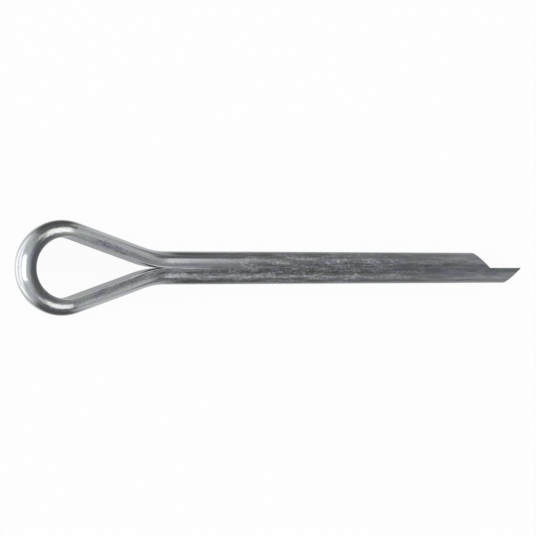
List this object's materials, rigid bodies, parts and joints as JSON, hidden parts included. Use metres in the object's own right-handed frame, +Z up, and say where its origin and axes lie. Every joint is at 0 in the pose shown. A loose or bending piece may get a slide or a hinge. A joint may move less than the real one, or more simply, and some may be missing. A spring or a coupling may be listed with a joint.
{
  "type": "cotter pin",
  "caption": "Cotter pin bent from half-round wire: an open eye, a split round shank, and slanted tips on a short leg and a longer prong.",
  "frame": {"origin": "on the shank's axis at its root, where the neck bends end and the straight legs begin", "axes": "+X along the shank from the eye to the tips, +Y towards the short leg, +Z up, square to the plane that the pin lies in"},
  "size_m": [0.1004, 0.016, 0.0058],
  "materials": {
    "plated_wire": "bright zinc plating, smooth on the eye and scuffed on the shank"
  },
  "bodies": {
    "root": {"cotter_pin": "plated_wire"}
  },
  "joints": []
}
